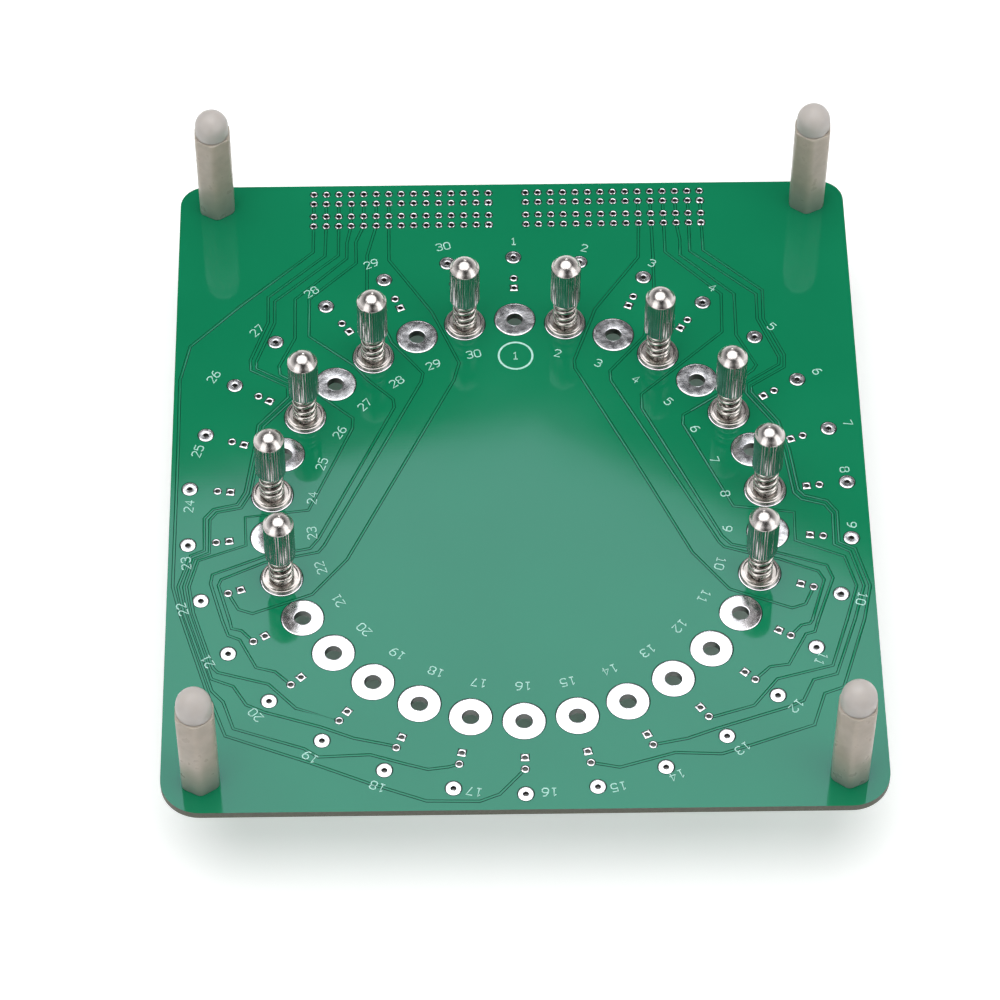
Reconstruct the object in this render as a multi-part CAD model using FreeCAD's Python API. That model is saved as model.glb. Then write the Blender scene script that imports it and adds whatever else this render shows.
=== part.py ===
import FreeCAD, Part

import math
import os

from FreeCAD import Placement, Rotation, Vector

# Probe fixture: a ring of spring probes on a circuit board, with a white standoff at each corner.
# Millimetres, +Z up. The board's front edge, with no header field, faces -Y.
# The origin is under the middle of the board, at the height of the lowest tips of the probes.

# Board
BOARD_WIDTH = 135.0
HEADER_STRIP_DEPTH = 16.0
BOARD_THICKNESS = 1.6
FRONT_CORNER_RADIUS = 7.5
BACK_CORNER_RADIUS = 5.0
BOARD_CLEARANCE_UNDER = 20.0

# Ring of probe positions, numbered clockwise from the back
RING_DIAMETER = 96.0
RING_POSITIONS = 30
PROBE_NUMBERS = (2, 4, 6, 8, 10, 22, 24, 26, 28, 30)
RING_HOLE_DIAMETER = 3.2

# Corner standoffs
STANDOFF_SIDE_INSET = 7.5
STANDOFF_FRONT_INSET = 7.5
STANDOFF_BACK_INSET = 5.0
STANDOFF_ACROSS_FLATS = 7.0
STANDOFF_HEIGHT = 22.5
STANDOFF_BORE_DEPTH = 12.0
STUD_DIAMETER = 4.0
STUD_HOLE_CLEARANCE = 0.15
STUD_PAST_NUT = 0.8
STANDOFF_NUT_HEIGHT = 3.0
STANDOFF_TURNS = {"front_left": 32.0, "front_right": 24.0, "back_left": 32.0, "back_right": 26.0}

# Domed cap on each standoff
CAP_DIAMETER = 6.6
CAP_SIDE_HEIGHT = 2.1
CAP_STEM_LENGTH = 6.0
CAP_STEM_CLEARANCE = 0.05

# Probe barrel, with its flange on the board and its threaded tail through the hole
FLANGE_DIAMETER = 7.8
FLANGE_THICKNESS = 0.9
FLANGE_CHAMFER = 0.2
TAIL_DIAMETER = 3.0
BARREL_BORE_DIAMETER = 2.1
MOUTH_LENGTH = 1.4
PROBE_NUT_ACROSS_FLATS = 5.5
PROBE_NUT_HEIGHT = 2.4
NUT_THREAD_CLEARANCE = 0.05

# Probe plunger: a piston, a stem and a knurled head with a domed tip
TRAVEL = 3.0
STEM_DIAMETER = 1.6
PISTON_LENGTH = 1.5
RUNNING_CLEARANCE = 0.05
STOP_CLEARANCE = 0.05
BORE_END_ROOM = 0.5
SPRING_SPACE = 7.1
HEAD_DIAMETER = 5.9
HEAD_LENGTH = 9.6
KNURL_TEETH = 24
KNURL_DEPTH = 0.16
DOME_RADIUS = 2.85
DOME_FOOT_RADIUS = 2.7

# Return spring of a probe
SPRING_OUTER_DIAMETER = 4.85
SPRING_WIRE = 0.72
SPRING_TURNS = 4
SPRING_SEAT_CLEARANCE = 0.02
SPRING_STEPS_PER_TURN = 12

# Levels and places that follow from the sizes above
BOARD_DEPTH = BOARD_WIDTH + HEADER_STRIP_DEPTH
BOARD_BOTTOM = BOARD_CLEARANCE_UNDER
BOARD_TOP = BOARD_BOTTOM + BOARD_THICKNESS
FRONT_EDGE = -BOARD_DEPTH / 2
RING_CENTRE = Vector(0, FRONT_EDGE + BOARD_WIDTH / 2, 0)
STUD_HOLE_DIAMETER = STUD_DIAMETER + 2 * STUD_HOLE_CLEARANCE
FLANGE_TOP = BOARD_TOP + FLANGE_THICKNESS
HEAD_BOTTOM = FLANGE_TOP + SPRING_SPACE
PISTON_TOP = FLANGE_TOP - MOUTH_LENGTH - STOP_CLEARANCE
PISTON_BOTTOM = PISTON_TOP - PISTON_LENGTH
STANDOFF_TOP = BOARD_TOP + STANDOFF_HEIGHT


def ring_place(position):
    """Centre of a numbered position of the ring, on the ground plane."""
    angle = math.radians(90 - 360 / RING_POSITIONS * (position - 1))
    return RING_CENTRE + Vector(math.cos(angle), math.sin(angle), 0) * (RING_DIAMETER / 2)


def standoff_places():
    """Centre of each corner standoff, on the ground plane, by the name of its corner."""
    side = BOARD_WIDTH / 2 - STANDOFF_SIDE_INSET
    front = FRONT_EDGE + STANDOFF_FRONT_INSET
    back = FRONT_EDGE + BOARD_DEPTH - STANDOFF_BACK_INSET
    return {
        "front_left": Vector(-side, front, 0),
        "front_right": Vector(side, front, 0),
        "back_left": Vector(-side, back, 0),
        "back_right": Vector(side, back, 0),
    }


def revolved(outline):
    """Solid turned about the Z axis from an outline of (radius, height) corners."""
    corners = [Vector(radius, 0, height) for radius, height in outline]
    wire = Part.makePolygon(corners + corners[:1])
    return Part.Face(wire).revolve(Vector(0, 0, 0), Vector(0, 0, 1), 360)


def polygon_prism(corners, bottom, height):
    """Upright prism on a closed row of (x, y) corners."""
    points = [Vector(x, y, bottom) for x, y in corners]
    face = Part.Face(Part.makePolygon(points + points[:1]))
    return face.extrude(Vector(0, 0, height))


def hexagon(across_flats):
    """Corners of a hexagon of this width across its flats."""
    radius = across_flats / math.sqrt(3)
    angles = [math.radians(60 * k) for k in range(6)]
    return [(radius * math.cos(angle), radius * math.sin(angle)) for angle in angles]


def cylinder(diameter, bottom, height):
    """Upright cylinder about the Z axis."""
    return Part.makeCylinder(diameter / 2, height, Vector(0, 0, bottom))


def placed(shape, place, turn=0.0):
    """Copy of a shape, turned about its own Z axis by degrees and moved to its place."""
    copy = shape.copy()
    copy.Placement = Placement(place, Rotation(Vector(0, 0, 1), turn))
    return copy


def board_outline():
    """Closed outline of the board, with larger rounds at its front corners than at its back."""
    half, front, back = BOARD_WIDTH / 2, FRONT_EDGE, FRONT_EDGE + BOARD_DEPTH
    corners = [
        (Vector(half, front, 0), FRONT_CORNER_RADIUS, -90),
        (Vector(half, back, 0), BACK_CORNER_RADIUS, 0),
        (Vector(-half, back, 0), BACK_CORNER_RADIUS, 90),
        (Vector(-half, front, 0), FRONT_CORNER_RADIUS, 180),
    ]
    arcs = []
    for corner, radius, start in corners:
        inward = Vector(-math.copysign(radius, corner.x), -math.copysign(radius, corner.y), 0)
        circle = Part.Circle(corner + inward, Vector(0, 0, 1), radius)
        arcs.append(Part.Arc(circle, math.radians(start), math.radians(start + 90)).toShape())
    edges = []
    for arc, following in zip(arcs, arcs[1:] + arcs[:1]):
        edges.append(arc)
        edges.append(Part.makeLine(arc.lastVertex().Point, following.firstVertex().Point))
    return Part.Wire(edges)


def circuit_board():
    """Bare board with the ring of probe holes and the four stud holes."""
    board = Part.Face(board_outline()).extrude(Vector(0, 0, BOARD_THICKNESS))
    holes = [
        placed(cylinder(RING_HOLE_DIAMETER, 0, BOARD_THICKNESS), ring_place(position))
        for position in range(1, RING_POSITIONS + 1)
    ]
    holes += [
        placed(cylinder(STUD_HOLE_DIAMETER, 0, BOARD_THICKNESS), place)
        for place in standoff_places().values()
    ]
    return placed(board.cut(Part.makeCompound(holes)), Vector(0, 0, BOARD_BOTTOM))


def probe_barrel():
    """Barrel with a flange on the board, a solid tail to stand on and a blind bore for the piston.

    The mouth is narrower than the bore, so that it holds the piston in.
    """
    mouth = STEM_DIAMETER / 2 + RUNNING_CLEARANCE
    bore = BARREL_BORE_DIAMETER / 2
    bore_bottom = PISTON_BOTTOM - TRAVEL - BORE_END_ROOM
    flange = FLANGE_DIAMETER / 2
    tail = TAIL_DIAMETER / 2
    return revolved([
        (mouth, FLANGE_TOP),
        (flange - FLANGE_CHAMFER, FLANGE_TOP),
        (flange, FLANGE_TOP - FLANGE_CHAMFER),
        (flange, BOARD_TOP),
        (tail, BOARD_TOP),
        (tail, 0),
        (0, 0),
        (0, bore_bottom),
        (bore, bore_bottom),
        (bore, FLANGE_TOP - MOUTH_LENGTH),
        (mouth, FLANGE_TOP - MOUTH_LENGTH),
    ])


def knurled_head():
    """Straight-knurled part of the head: a prism with a ring of pointed teeth."""
    crest = HEAD_DIAMETER / 2
    root = crest - KNURL_DEPTH
    corners = []
    for k in range(2 * KNURL_TEETH):
        angle = math.pi * k / KNURL_TEETH
        radius = root if k % 2 else crest
        corners.append((radius * math.cos(angle), radius * math.sin(angle)))
    return polygon_prism(corners, HEAD_BOTTOM, HEAD_LENGTH)


def domed_tip(foot):
    """Polished cap of a sphere that stands on the head at this height."""
    centre = foot - math.sqrt(DOME_RADIUS**2 - DOME_FOOT_RADIUS**2)
    half_angle = math.asin(DOME_FOOT_RADIUS / DOME_RADIUS) / 2
    rim = Vector(DOME_FOOT_RADIUS, 0, foot)
    middle = Vector(DOME_RADIUS * math.sin(half_angle), 0, centre + DOME_RADIUS * math.cos(half_angle))
    apex = Vector(0, 0, centre + DOME_RADIUS)
    axis_foot = Vector(0, 0, foot)
    edges = [
        Part.makeLine(axis_foot, rim),
        Part.Arc(rim, middle, apex).toShape(),
        Part.makeLine(apex, axis_foot),
    ]
    return Part.Face(Part.Wire(edges)).revolve(Vector(0, 0, 0), Vector(0, 0, 1), 360)


def probe_plunger():
    """Plunger: piston and stem inside the barrel, and the knurled head with its domed tip above."""
    piston = BARREL_BORE_DIAMETER / 2 - RUNNING_CLEARANCE
    stem = STEM_DIAMETER / 2
    inside = revolved([
        (0, PISTON_BOTTOM),
        (piston, PISTON_BOTTOM),
        (piston, PISTON_TOP),
        (stem, PISTON_TOP),
        (stem, HEAD_BOTTOM),
        (0, HEAD_BOTTOM),
    ])
    return inside.fuse([knurled_head(), domed_tip(HEAD_BOTTOM + HEAD_LENGTH)]).removeSplitter()


def flat_faced_bar(sections):
    """Bar through a row of four-cornered sections, with flat faces only.

    The two sides that stand upright are flat as they are. The two that climb and turn are each
    split along a diagonal.
    """
    faces = []
    for near, far in zip(sections, sections[1:]):
        for k in range(4):
            following = (k + 1) % 4
            corners = [near[k], near[following], far[following], far[k]]
            upright = k % 2 == 1
            rings = [corners] if upright else [corners[:3], [corners[0]] + corners[2:]]
            faces += [Part.Face(Part.makePolygon(ring + ring[:1])) for ring in rings]
    for end in (sections[0], sections[-1]):
        faces.append(Part.Face(Part.makePolygon(end + end[:1])))
    solid = Part.makeSolid(Part.makeShell(faces))
    if solid.Volume < 0:
        solid.reverse()
    return solid


def probe_spring():
    """Open coil spring between the flange and the head, of square wire in short straight steps."""
    low = FLANGE_TOP + SPRING_SEAT_CLEARANCE
    rise = SPRING_SPACE - 2 * SPRING_SEAT_CLEARANCE - SPRING_WIRE
    outer = SPRING_OUTER_DIAMETER / 2
    inner = outer - SPRING_WIRE
    steps = SPRING_TURNS * SPRING_STEPS_PER_TURN
    sections = []
    for k in range(steps + 1):
        angle = 2 * math.pi * k / SPRING_STEPS_PER_TURN
        out = Vector(math.cos(angle), math.sin(angle), 0)
        foot = Vector(0, 0, low + rise * k / steps)
        head = foot + Vector(0, 0, SPRING_WIRE)
        sections.append([foot + out * inner, foot + out * outer, head + out * outer, head + out * inner])
    return flat_faced_bar(sections)


def hex_nut(across_flats, thread_diameter, height):
    """Hex nut under the board, on a thread of this diameter."""
    bottom = BOARD_BOTTOM - height
    bore = cylinder(thread_diameter + 2 * NUT_THREAD_CLEARANCE, bottom, height)
    return polygon_prism(hexagon(across_flats), bottom, height).cut(bore)


def standoff():
    """Hex standoff with the bore for its cap above and the stud through the board below."""
    bore = cylinder(STUD_DIAMETER, STANDOFF_TOP - STANDOFF_BORE_DEPTH, STANDOFF_BORE_DEPTH)
    body = polygon_prism(hexagon(STANDOFF_ACROSS_FLATS), BOARD_TOP, STANDOFF_HEIGHT).cut(bore)
    stud_bottom = BOARD_BOTTOM - STANDOFF_NUT_HEIGHT - STUD_PAST_NUT
    stud = cylinder(STUD_DIAMETER, stud_bottom, BOARD_TOP - stud_bottom)
    return body.fuse(stud).removeSplitter()


def standoff_cap():
    """Domed cap that rests on the standoff, with its stem in the bore."""
    radius = CAP_DIAMETER / 2
    stem_diameter = STUD_DIAMETER - 2 * CAP_STEM_CLEARANCE
    side = cylinder(CAP_DIAMETER, STANDOFF_TOP, CAP_SIDE_HEIGHT)
    dome = Part.makeSphere(radius, Vector(0, 0, STANDOFF_TOP + CAP_SIDE_HEIGHT), Vector(0, 0, 1), 0, 90)
    pin = cylinder(stem_diameter, STANDOFF_TOP - CAP_STEM_LENGTH, CAP_STEM_LENGTH)
    return side.fuse([dome, pin]).removeSplitter()


def group(shape, places):
    """One node of separate like solids, a copy of the shape at each place."""
    return Part.makeCompound([placed(shape, place) for place in places])


def assembly():
    """Every node of the fixture, by name."""
    probe_places = {position: ring_place(position) for position in PROBE_NUMBERS}
    corners = standoff_places()
    nodes = {
        "circuit_board": circuit_board(),
        "probe_barrels": group(probe_barrel(), probe_places.values()),
        "probe_nuts": group(
            hex_nut(PROBE_NUT_ACROSS_FLATS, TAIL_DIAMETER, PROBE_NUT_HEIGHT), probe_places.values()
        ),
        "standoff_nuts": group(
            hex_nut(STANDOFF_ACROSS_FLATS, STUD_DIAMETER, STANDOFF_NUT_HEIGHT), corners.values()
        ),
    }
    plunger, spring = probe_plunger(), probe_spring()
    for position, place in probe_places.items():
        nodes[f"probe_plunger_{position:02d}"] = placed(plunger, place)
        nodes[f"probe_spring_{position:02d}"] = placed(spring, place)
    for corner, place in corners.items():
        nodes[f"standoff_{corner}"] = placed(standoff(), place, STANDOFF_TURNS[corner])
        nodes[f"standoff_cap_{corner}"] = placed(standoff_cap(), place)
    return nodes


def main():
    os.makedirs("parts", exist_ok=True)
    for name, shape in assembly().items():
        shape.exportStep(os.path.join("parts", name + ".step"))
        print(name, shape.ShapeType, len(shape.Solids), shape.isValid(), round(shape.Volume, 2))


main()
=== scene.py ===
"""Looks of the probe fixture: ten spring probes on a ring of a green circuit board, with four
nylon standoffs. Lengths are in millimetres, and become metres in the mesh. Only the studio's own
lengths are in metres.
"""
import logging
import math
from collections.abc import Callable, Iterable, Iterator, Sequence
from contextlib import contextmanager
from dataclasses import dataclass, replace
from enum import Enum

import bmesh
import bpy
from bpy.types import Curve, Material, Node, NodeSocket, Object, World
from mathutils import Matrix, Vector


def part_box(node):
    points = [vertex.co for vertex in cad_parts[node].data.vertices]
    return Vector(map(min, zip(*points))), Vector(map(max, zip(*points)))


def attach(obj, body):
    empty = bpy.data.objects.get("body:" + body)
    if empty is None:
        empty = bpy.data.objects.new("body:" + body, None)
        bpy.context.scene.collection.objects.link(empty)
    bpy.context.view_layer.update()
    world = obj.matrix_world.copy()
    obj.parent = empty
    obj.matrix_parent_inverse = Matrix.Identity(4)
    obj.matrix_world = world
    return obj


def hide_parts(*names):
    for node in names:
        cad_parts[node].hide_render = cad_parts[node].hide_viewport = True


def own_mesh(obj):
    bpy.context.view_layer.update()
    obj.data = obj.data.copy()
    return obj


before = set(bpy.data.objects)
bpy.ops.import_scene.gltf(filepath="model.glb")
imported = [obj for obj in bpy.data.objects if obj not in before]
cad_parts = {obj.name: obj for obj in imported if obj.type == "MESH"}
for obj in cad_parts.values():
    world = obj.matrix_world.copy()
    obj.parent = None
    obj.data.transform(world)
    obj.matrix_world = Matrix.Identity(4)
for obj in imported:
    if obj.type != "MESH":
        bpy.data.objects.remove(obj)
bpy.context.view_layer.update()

logging.basicConfig(level=logging.INFO, format="%(message)s")
LOG = logging.getLogger("probe_fixture")

MM = 0.001
# A drill reaches this far past both faces of what it cuts
OVERCUT = 1.0
Colour = tuple[float, float, float]
Point = tuple[float, float]
Place = tuple[float, float, float]


# Bench work

class Pick(Enum):
    """What a selection in edit mode is made of."""

    VERTICES = "VERT"
    EDGES = "EDGE"
    FACES = "FACE"


def deselect_all() -> None:
    """Clears the selection, so that the next operator acts on its own piece only."""
    bpy.ops.object.select_all(action="DESELECT")


def take_up(piece: Object) -> None:
    """Makes a piece the only selected and the active one."""
    deselect_all()
    piece.select_set(True)
    bpy.context.view_layer.objects.active = piece


@contextmanager
def editing(piece: Object) -> Iterator[None]:
    """Edit mode on one piece, with nothing selected in it."""
    take_up(piece)
    bpy.ops.object.mode_set(mode="EDIT")
    bpy.ops.mesh.select_mode(type="VERT")
    bpy.ops.mesh.select_all(action="DESELECT")
    yield
    bpy.ops.object.mode_set(mode="OBJECT")


def pick(piece: Object, kind: Pick, test: Callable[..., bool]) -> None:
    """Selects the parts of a mesh in edit mode that pass a test, and nothing else.

    Args:
        piece: The piece in edit mode.
        kind: Whether vertices, edges or faces are tested.
        test: Takes one vertex, edge or face and says whether it is selected.
    """
    bpy.ops.mesh.select_mode(type=kind.value)
    bpy.ops.mesh.select_all(action="DESELECT")
    mesh = bmesh.from_edit_mesh(piece.data)
    parts = {Pick.VERTICES: mesh.verts, Pick.EDGES: mesh.edges, Pick.FACES: mesh.faces}[kind]
    for part in parts:
        if test(part):
            part.select_set(True)
    bmesh.update_edit_mesh(piece.data)


def made_whole() -> None:
    """Merges doubles and turns all faces outwards, in edit mode."""
    bpy.ops.mesh.select_all(action="SELECT")
    bpy.ops.mesh.remove_doubles(threshold=1e-6)
    bpy.ops.mesh.normals_make_consistent(inside=False)


def turned(name: str, profile: Sequence[Point], segments: int) -> Object:
    """Piece turned about the Z axis, as on a lathe.

    Args:
        name: Name of the piece.
        profile: Radius and height of each corner. A profile whose last corner is its first
            makes a ring; otherwise its two ends lie on the axis.
        segments: Number of steps in the full turn.

    Returns:
        The closed piece.
    """
    deselect_all()
    bpy.ops.mesh.primitive_plane_add(size=MM)
    piece = bpy.context.object
    piece.name = name
    with editing(piece):
        bpy.ops.mesh.select_all(action="SELECT")
        bpy.ops.mesh.merge(type="CENTER")
        bpy.ops.transform.translate(value=(profile[0][0] * MM, 0, profile[0][1] * MM))
        for (radius, height), (next_radius, next_height) in zip(profile, profile[1:]):
            step = ((next_radius - radius) * MM, 0, (next_height - height) * MM)
            bpy.ops.mesh.extrude_region_move(TRANSFORM_OT_translate={"value": step})
        bpy.ops.mesh.select_all(action="SELECT")
        bpy.ops.mesh.spin(steps=segments, angle=math.tau, center=(0, 0, 0), axis=(0, 0, 1))
        made_whole()
    return piece


def arc(centre: Point, radius: float, start: float, end: float, steps: int) -> list[Point]:
    """Corners of a profile along an arc between two angles in radians, both ends among them."""
    angles = [start + (end - start) * step / steps for step in range(steps + 1)]
    return [(centre[0] + radius * math.cos(angle), centre[1] + radius * math.sin(angle)) for angle in angles]


def thread(radius: float, start: float, end: float, pitch: float, depth: float) -> list[Point]:
    """Corners of a profile along a thread, from its start downwards while it stays above its end."""
    corners = []
    height = start
    while height - pitch > end:
        corners += [(radius - depth, height - pitch / 2), (radius, height - pitch)]
        height -= pitch
    return corners


def rod(name: str, diameter: float, bottom: float, top: float, segments: int) -> Object:
    """Plain upright cylinder about the Z axis, a start for other work or a cutter."""
    deselect_all()
    bpy.ops.mesh.primitive_cylinder_add(
        vertices=segments,
        radius=diameter / 2 * MM,
        depth=(top - bottom) * MM,
        location=(0, 0, (top + bottom) / 2 * MM),
    )
    piece = bpy.context.object
    piece.name = name
    bpy.ops.object.transform_apply(location=True, rotation=True, scale=True)
    return piece


def hexagonal(name: str, across_flats: float, bottom: float, top: float) -> Object:
    """Upright hexagonal bar with a corner on the X axis, as the CAD model has it."""
    piece = rod(name, 2 * across_flats / math.sqrt(3), bottom, top, segments=6)
    with editing(piece):
        bpy.ops.mesh.select_all(action="SELECT")
        bpy.ops.transform.rotate(value=math.radians(30), orient_axis="Z", center_override=(0, 0, 0))
    return piece


def carve(piece: Object, tool: Object, operation: str = "DIFFERENCE") -> None:
    """Cuts a piece with a tool, or keeps what they share, and puts the tool away."""
    take_up(piece)
    modifier = piece.modifiers.new("boolean", "BOOLEAN")
    modifier.operation, modifier.solver, modifier.object = operation, "EXACT", tool
    bpy.ops.object.modifier_apply(modifier=modifier.name)
    bpy.data.objects.remove(tool)


def at(x: float, y: float, z: float = 0.0, turn: float = 0.0) -> Matrix:
    """Placement that turns by degrees about Z and then moves to a point."""
    return Matrix.Translation(Vector((x, y, z)) * MM) @ Matrix.Rotation(math.radians(turn), 4, "Z")


def copied(pattern: Object, placement: Matrix, name: str) -> Object:
    """Copy of a pattern with its own mesh, moved to its place within that mesh."""
    copy = pattern.copy()
    copy.data = pattern.data.copy()
    copy.name = name
    copy.data.transform(placement)
    bpy.context.collection.objects.link(copy)
    return copy


def laid_out(pattern: Object, placements: Iterable[Matrix], name: str) -> Object:
    """One piece made of a copy of the pattern at each placement. The pattern is used up."""
    copies = [copied(pattern, placement, name) for placement in placements]
    bpy.data.objects.remove(pattern)
    return joined(copies, name)


def joined(pieces: Sequence[Object], name: str) -> Object:
    """Several pieces made one mesh."""
    deselect_all()
    for piece in pieces:
        piece.select_set(True)
    bpy.context.view_layer.objects.active = pieces[0]
    if len(pieces) > 1:
        bpy.ops.object.join()
    pieces[0].name = name
    return pieces[0]


def draw_line(curve: Curve, places: Sequence[Place], closed: bool = False) -> None:
    """Adds a line of straight steps through these places to a curve."""
    spline = curve.splines.new("POLY")
    spline.points.add(len(places) - 1)
    for point, place in zip(spline.points, places):
        point.co = (*(length * MM for length in place), 1)
    spline.use_cyclic_u = closed


def as_mesh(curve: Curve) -> Object:
    """Puts a curve on the bench and makes it a mesh."""
    piece = bpy.data.objects.new(curve.name, curve)
    bpy.context.collection.objects.link(piece)
    take_up(piece)
    bpy.ops.object.convert(target="MESH")
    return bpy.context.object


def strips(
    name: str,
    runs: Sequence[Sequence[Point]],
    foot_width: float,
    top_width: float,
    bottom: float,
    top: float,
) -> Object:
    """Flat raised strips with sloping sides, each along a run of (x, y) points.

    A run whose last point is its first makes a closed strip.

    Args:
        name: Name of the piece.
        runs: Middle line of each strip.
        foot_width: Width where the strip meets the board.
        top_width: Width of its flat top.
        bottom: Height of its underside, just inside the board.
        top: Height of its flat top.

    Returns:
        The strips as one mesh.
    """
    section = bpy.data.curves.new(name + "_section", "CURVE")
    corners = [(-foot_width, bottom), (foot_width, bottom), (top_width, top), (-top_width, top)]
    draw_line(section, [(across / 2, height, 0) for across, height in corners], closed=True)
    section_piece = bpy.data.objects.new(section.name, section)
    bpy.context.collection.objects.link(section_piece)

    curve = bpy.data.curves.new(name, "CURVE")
    curve.dimensions = "3D"
    curve.twist_mode = "Z_UP"
    curve.bevel_mode = "OBJECT"
    curve.bevel_object = section_piece
    curve.use_fill_caps = True
    for run in runs:
        closed = run[0] == run[-1]
        draw_line(curve, [(x, y, 0) for x, y in (run[:-1] if closed else run)], closed)
    piece = as_mesh(curve)
    bpy.data.objects.remove(section_piece)
    with editing(piece):
        bpy.ops.mesh.select_all(action="SELECT")
        bpy.ops.mesh.normals_make_consistent(inside=False)
    return piece


def remember_bench_place(piece: Object) -> None:
    """Keeps each vertex's place on the bench, for patterns that follow the piece's own axis."""
    attribute = piece.data.attributes.new("bench", "FLOAT_VECTOR", "POINT")
    for vertex, entry in zip(piece.data.vertices, attribute.data):
        entry.vector = vertex.co


def dress(piece: Object, finishes: Sequence[Material], choose: Callable[..., int] | None = None) -> None:
    """Gives a piece its finishes.

    Args:
        piece: The piece, which loses any finish it had.
        finishes: Its materials, the first of them for all faces that are not chosen.
        choose: Takes one face and returns the number of its material.
    """
    piece.data.materials.clear()
    for finish in finishes:
        piece.data.materials.append(finish)
    for face in piece.data.polygons:
        face.material_index = choose(face) if choose else 0


def smooth(piece: Object, angle: float) -> None:
    """Shades a piece smooth, apart from edges sharper than this many degrees."""
    take_up(piece)
    bpy.ops.object.shade_smooth_by_angle(angle=math.radians(angle))


def hand_over(piece: Object, nodes: Sequence[str] = (), body: str = "root") -> None:
    """Puts a finished piece on its body, and says what it stands for.

    Args:
        piece: The piece, in place.
        nodes: CAD nodes that it replaces.
        body: CAD body that it moves with.
    """
    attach(piece, body)
    if nodes:
        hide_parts(*nodes)
    LOG.info("%s: %d faces, on %s", piece.name, len(piece.data.polygons), body)


# Finishes

# Blender's wave texture has one wave in this length at a scale of 1
WAVE_UNIT = math.tau / 20
# Between these two values lies nearly all of a noise
NOISE_RANGE = (0.3, 0.7)


class Recipe:
    """Nodes of one material or of the world, added and linked in order."""

    def __init__(self, owner: Material | World) -> None:
        """Starts from the shader that a new material or world has."""
        owner.use_nodes = True
        self.nodes, self.links = owner.node_tree.nodes, owner.node_tree.links
        self.shader = self.nodes["Background" if isinstance(owner, World) else "Principled BSDF"]

    def add(self, kind: str, inputs: dict[str, object], **settings: object) -> Node:
        """Adds one node.

        Args:
            kind: Blender's name for the node.
            inputs: Value or incoming socket of each input, by the input's name.
            **settings: Other settings of the node.

        Returns:
            The node.
        """
        node = self.nodes.new(kind)
        for setting, value in settings.items():
            setattr(node, setting, value)
        for name, value in inputs.items():
            self.feed(node.inputs[name], value)
        return node

    def feed(self, socket: NodeSocket, value: object) -> None:
        """Links a socket to another, or sets its value."""
        if isinstance(value, NodeSocket):
            self.links.new(value, socket)
        else:
            socket.default_value = value

    def set(self, **values: object) -> None:
        """Sets or links inputs of the shader, named in lower case with underscores."""
        by_name = {socket.name.lower().replace(" ", "_"): socket for socket in self.shader.inputs}
        for name, value in values.items():
            self.feed(by_name[name], value)

    def place(self) -> NodeSocket:
        """Coordinates of the piece, in metres."""
        return self.add("ShaderNodeTexCoord", {}).outputs["Object"]

    def bench_place(self) -> NodeSocket:
        """Coordinates about the piece's own axis, in metres."""
        return self.add("ShaderNodeAttribute", {}, attribute_name="bench").outputs["Vector"]

    def noise(self, place: NodeSocket, grain: float, detail: float = 2.0) -> NodeSocket:
        """Cloudy noise with a grain of about this many millimetres."""
        inputs = {"Vector": place, "Scale": 1 / (grain * MM), "Detail": detail}
        return self.add("ShaderNodeTexNoise", inputs).outputs["Fac"]

    def waves(self, place: NodeSocket, pitch: float, direction: str, rings: bool = False) -> NodeSocket:
        """Even waves at this pitch in millimetres, in bands or in rings about an axis."""
        inputs = {"Vector": place, "Scale": WAVE_UNIT / (pitch * MM)}
        settings = {"wave_type": "RINGS" if rings else "BANDS"}
        settings["rings_direction" if rings else "bands_direction"] = direction
        return self.add("ShaderNodeTexWave", inputs, **settings).outputs["Fac"]

    def ranged(self, value: NodeSocket, low: float, high: float, start: float, end: float) -> NodeSocket:
        """Value carried from the range low to high over to start to end, held at both."""
        inputs = {"Value": value, "From Min": low, "From Max": high, "To Min": start, "To Max": end}
        return self.add("ShaderNodeMapRange", inputs).outputs["Result"]

    def blend(self, factor: NodeSocket, first: Colour, second: Colour | NodeSocket) -> NodeSocket:
        """Colour between two colours, of which the second may be a pattern."""
        # The node has sockets for other kinds of data too, so those for colours go by number
        node = self.add("ShaderNodeMix", {}, data_type="RGBA")
        self.feed(node.inputs[0], factor)
        self.feed(node.inputs[6], (*first, 1))
        self.feed(node.inputs[7], second if isinstance(second, NodeSocket) else (*second, 1))
        return node.outputs[2]

    def arithmetic(self, operation: str, first: NodeSocket, second: NodeSocket | float) -> NodeSocket:
        """Result of an operation, such as MULTIPLY or MAXIMUM, on two values."""
        node = self.add("ShaderNodeMath", {}, operation=operation)
        self.feed(node.inputs[0], first)
        self.feed(node.inputs[1], second)
        return node.outputs[0]

    def relief(self, height: NodeSocket, depth: float, under: NodeSocket | None = None) -> NodeSocket:
        """Surface relief of this depth in millimetres, on top of another if there is one."""
        node = self.add("ShaderNodeBump", {"Height": height, "Distance": depth * MM})
        if under:
            self.feed(node.inputs["Normal"], under)
        return node.outputs["Normal"]


@dataclass(frozen=True)
class Finish:
    """Surface finish: two colours and two roughnesses that it drifts between."""

    name: str
    colour: Colour
    second: Colour
    roughness: tuple[float, float]

    def material(self) -> Material:
        """Builds the material."""
        material = bpy.data.materials.new(self.name)
        recipe = Recipe(material)
        self.mix(recipe)
        return material

    def drift(self, recipe: Recipe, pattern: NodeSocket) -> NodeSocket:
        """Lets colour and roughness follow a noise.

        Args:
            recipe: The material's nodes.
            pattern: The noise.

        Returns:
            The colour.
        """
        even = recipe.ranged(pattern, *NOISE_RANGE, 0.0, 1.0)
        colour = recipe.blend(even, self.colour, self.second)
        recipe.set(base_color=colour, roughness=recipe.ranged(pattern, *NOISE_RANGE, *self.roughness))
        return colour

    def mix(self, recipe: Recipe) -> None:
        """Sets up the shader."""
        raise NotImplementedError


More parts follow.
